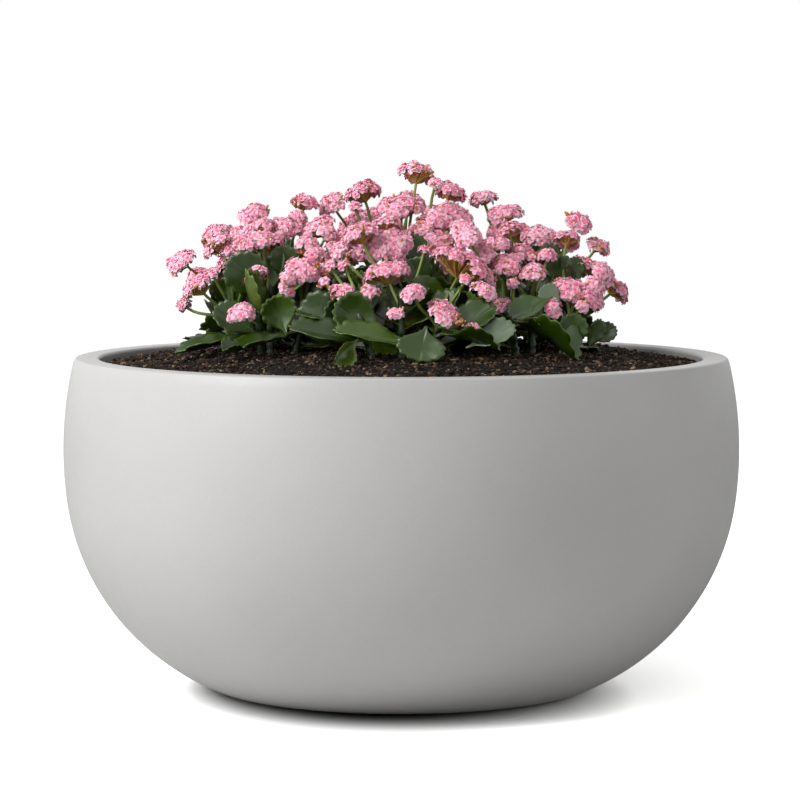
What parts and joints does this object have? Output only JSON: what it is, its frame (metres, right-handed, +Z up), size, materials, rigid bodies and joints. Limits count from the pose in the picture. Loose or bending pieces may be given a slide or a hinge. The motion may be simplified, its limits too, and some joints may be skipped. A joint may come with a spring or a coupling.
{
  "type": "bowl planter with flowering plants",
  "caption": "Round pale grey fibreglass bowl planter with a flat turned-down rim, filled with soil and planted with pink flowering succulents.",
  "frame": {"origin": "centre of the foot ring, on the surface that the planter stands on", "axes": "+Z up out of the bowl, -Y towards the front of the planting, +X to the right seen from the front"},
  "size_m": [0.9136, 0.9136, 0.7152],
  "materials": {
    "fibreglass": "satin",
    "rubber": "matte",
    "gravel": "matte",
    "filter_cloth": "matte",
    "soil": "matte",
    "foliage": "satin",
    "petals": "matte"
  },
  "bodies": {
    "root": {"bowl_shell": "fibreglass", "drain_plug": "rubber", "gravel_layer": "gravel", "filter_fabric": "filter_cloth", "potting_soil": "soil", "centre_roots": "soil", "centre_leaves": "foliage", "centre_flowers": "petals", "front_roots": "soil", "front_leaves": "foliage", "front_flowers": "petals", "front_right_roots": "soil", "front_right_leaves": "foliage", "front_right_flowers": "petals", "back_right_roots": "soil", "back_right_leaves": "foliage", "back_right_flowers": "petals", "back_roots": "soil", "back_leaves": "foliage", "back_flowers": "petals", "back_left_roots": "soil", "back_left_leaves": "foliage", "back_left_flowers": "petals", "front_left_roots": "soil", "front_left_leaves": "foliage", "front_left_flowers": "petals"}
  },
  "joints": []
}
